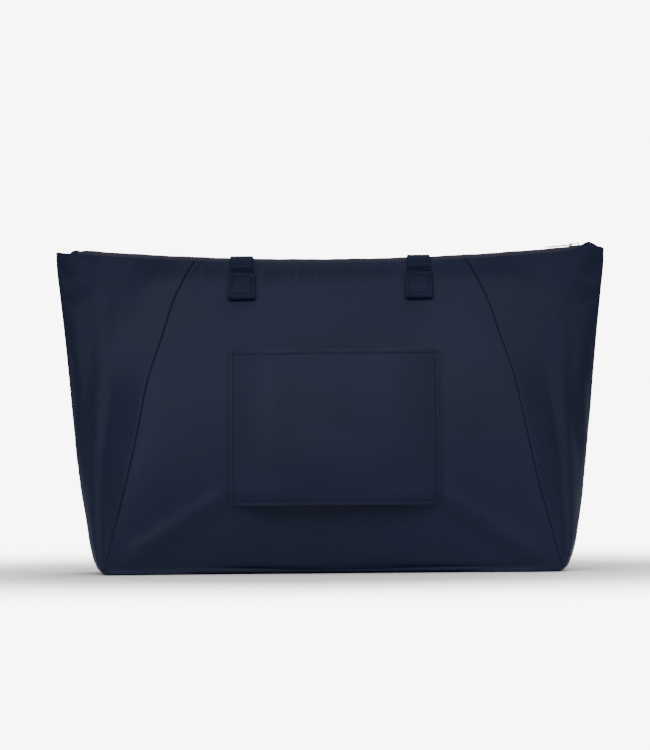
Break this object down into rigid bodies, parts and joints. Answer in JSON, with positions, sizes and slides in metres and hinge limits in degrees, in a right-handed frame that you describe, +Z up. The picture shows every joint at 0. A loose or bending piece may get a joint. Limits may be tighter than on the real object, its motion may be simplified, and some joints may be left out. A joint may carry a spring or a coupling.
{
  "type": "foldable tote bag",
  "caption": "Soft nylon zip-top travel tote with flared ends, webbing handles and a sleeve on its back that slips over a suitcase's pull-out handle; folds flat",
  "frame": {"origin": "centre of the underside of the base", "axes": "+Z up, +X to the right as seen from the sleeve (back) side and along the mouth, -Y out of the back with the trolley sleeve"},
  "size_m": [0.4898, 0.2041, 0.2918],
  "materials": {
    "shell_nylon": "smooth fine-weave nylon, dark navy, soft sheen",
    "lining_nylon": "thin plain-weave nylon, dark navy, matt",
    "binding_tape": "ribbed binding tape, dark navy",
    "webbing": "tightly woven flat nylon webbing, dark navy",
    "zip_tape": "knitted zip tape, dark purple grey",
    "zip_coil": "moulded nylon coil, dark",
    "zip_metal": "dark gunmetal lacquer, satin"
  },
  "bodies": {
    "bag": {"front_panel": "shell_nylon", "left_end_panel": "shell_nylon", "right_end_panel": "shell_nylon", "base_panel": "shell_nylon", "base_binding": "binding_tape", "front_hem": "lining_nylon", "front_left_binding": "binding_tape", "front_right_binding": "binding_tape", "zip_tape_back": "zip_tape", "zip_tape_front": "zip_tape", "zip_coil_back": "zip_coil", "zip_coil_front": "zip_coil", "zip_end_tabs": "zip_tape", "front_handle_tabs": "webbing", "front_handle_turns": "webbing", "back_handle_turns": "webbing"},
    "back_wall": {"back_panel": "shell_nylon", "back_hem": "lining_nylon", "back_left_binding": "binding_tape", "back_right_binding": "binding_tape", "trolley_sleeve": "shell_nylon", "back_handle_tabs": "webbing", "pocket_back": "lining_nylon", "pocket_front": "lining_nylon", "pocket_zip_tapes": "zip_tape", "pocket_zip_coils": "zip_coil"},
    "zip_slider": {"zip_slider": "zip_metal"},
    "zip_pull": {"zip_pull": "zip_metal"},
    "front_handle": {"front_handle": "webbing"},
    "back_handle": {"back_handle": "webbing"},
    "pocket_slider": {"pocket_zip_slider": "zip_metal"},
    "pocket_pull": {"pocket_zip_pull": "zip_metal"}
  },
  "joints": [
    {"name": "back_wall_fold", "type": "hinge", "parent": "bag", "child": "back_wall", "pos_m": [0, -0.0082, 0.2765], "axis": [1, 0, 0], "range_deg": [0, 24], "deforming": ["base_panel", "left_end_panel", "right_end_panel", "base_binding"]},
    {"name": "back_handle_lift", "type": "hinge", "parent": "bag", "child": "back_handle", "pos_m": [0, -0.0027, 0.2917], "axis": [1, 0, 0], "range_deg": [0, 160], "deforming": ["back_handle_turns"]},
    {"name": "front_handle_lift", "type": "hinge", "parent": "bag", "child": "front_handle", "pos_m": [0, 0.0139, 0.279], "axis": [1, 0, 0], "range_deg": [0, 160], "deforming": ["front_handle_turns"]},
    {"name": "zip_travel", "type": "hinge", "parent": "bag", "child": "zip_slider", "pos_m": [0, 0, 2.78204], "axis": [0, 1, 0], "range_deg": [0, 10.02]},
    {"name": "zip_pull_flip", "type": "hinge", "parent": "zip_slider", "child": "zip_pull", "pos_m": [0.21634, 0, 0.28972], "axis": [0, 1, 0], "range_deg": [0, 135]},
    {"name": "pocket_zip_travel", "type": "slide", "parent": "back_wall", "child": "pocket_slider", "axis": [1, 0, 0], "range_m": [-0.158, 0]},
    {"name": "pocket_pull_flip", "type": "hinge", "parent": "pocket_slider", "child": "pocket_pull", "pos_m": [0.07746, -0.0023, 0.236], "axis": [0, 0, -1], "range_deg": [0, 135]}
  ],
  "couplings": [
    {"joint": "front_handle_lift", "follows": "back_handle_lift", "ratio": 1}
  ]
}
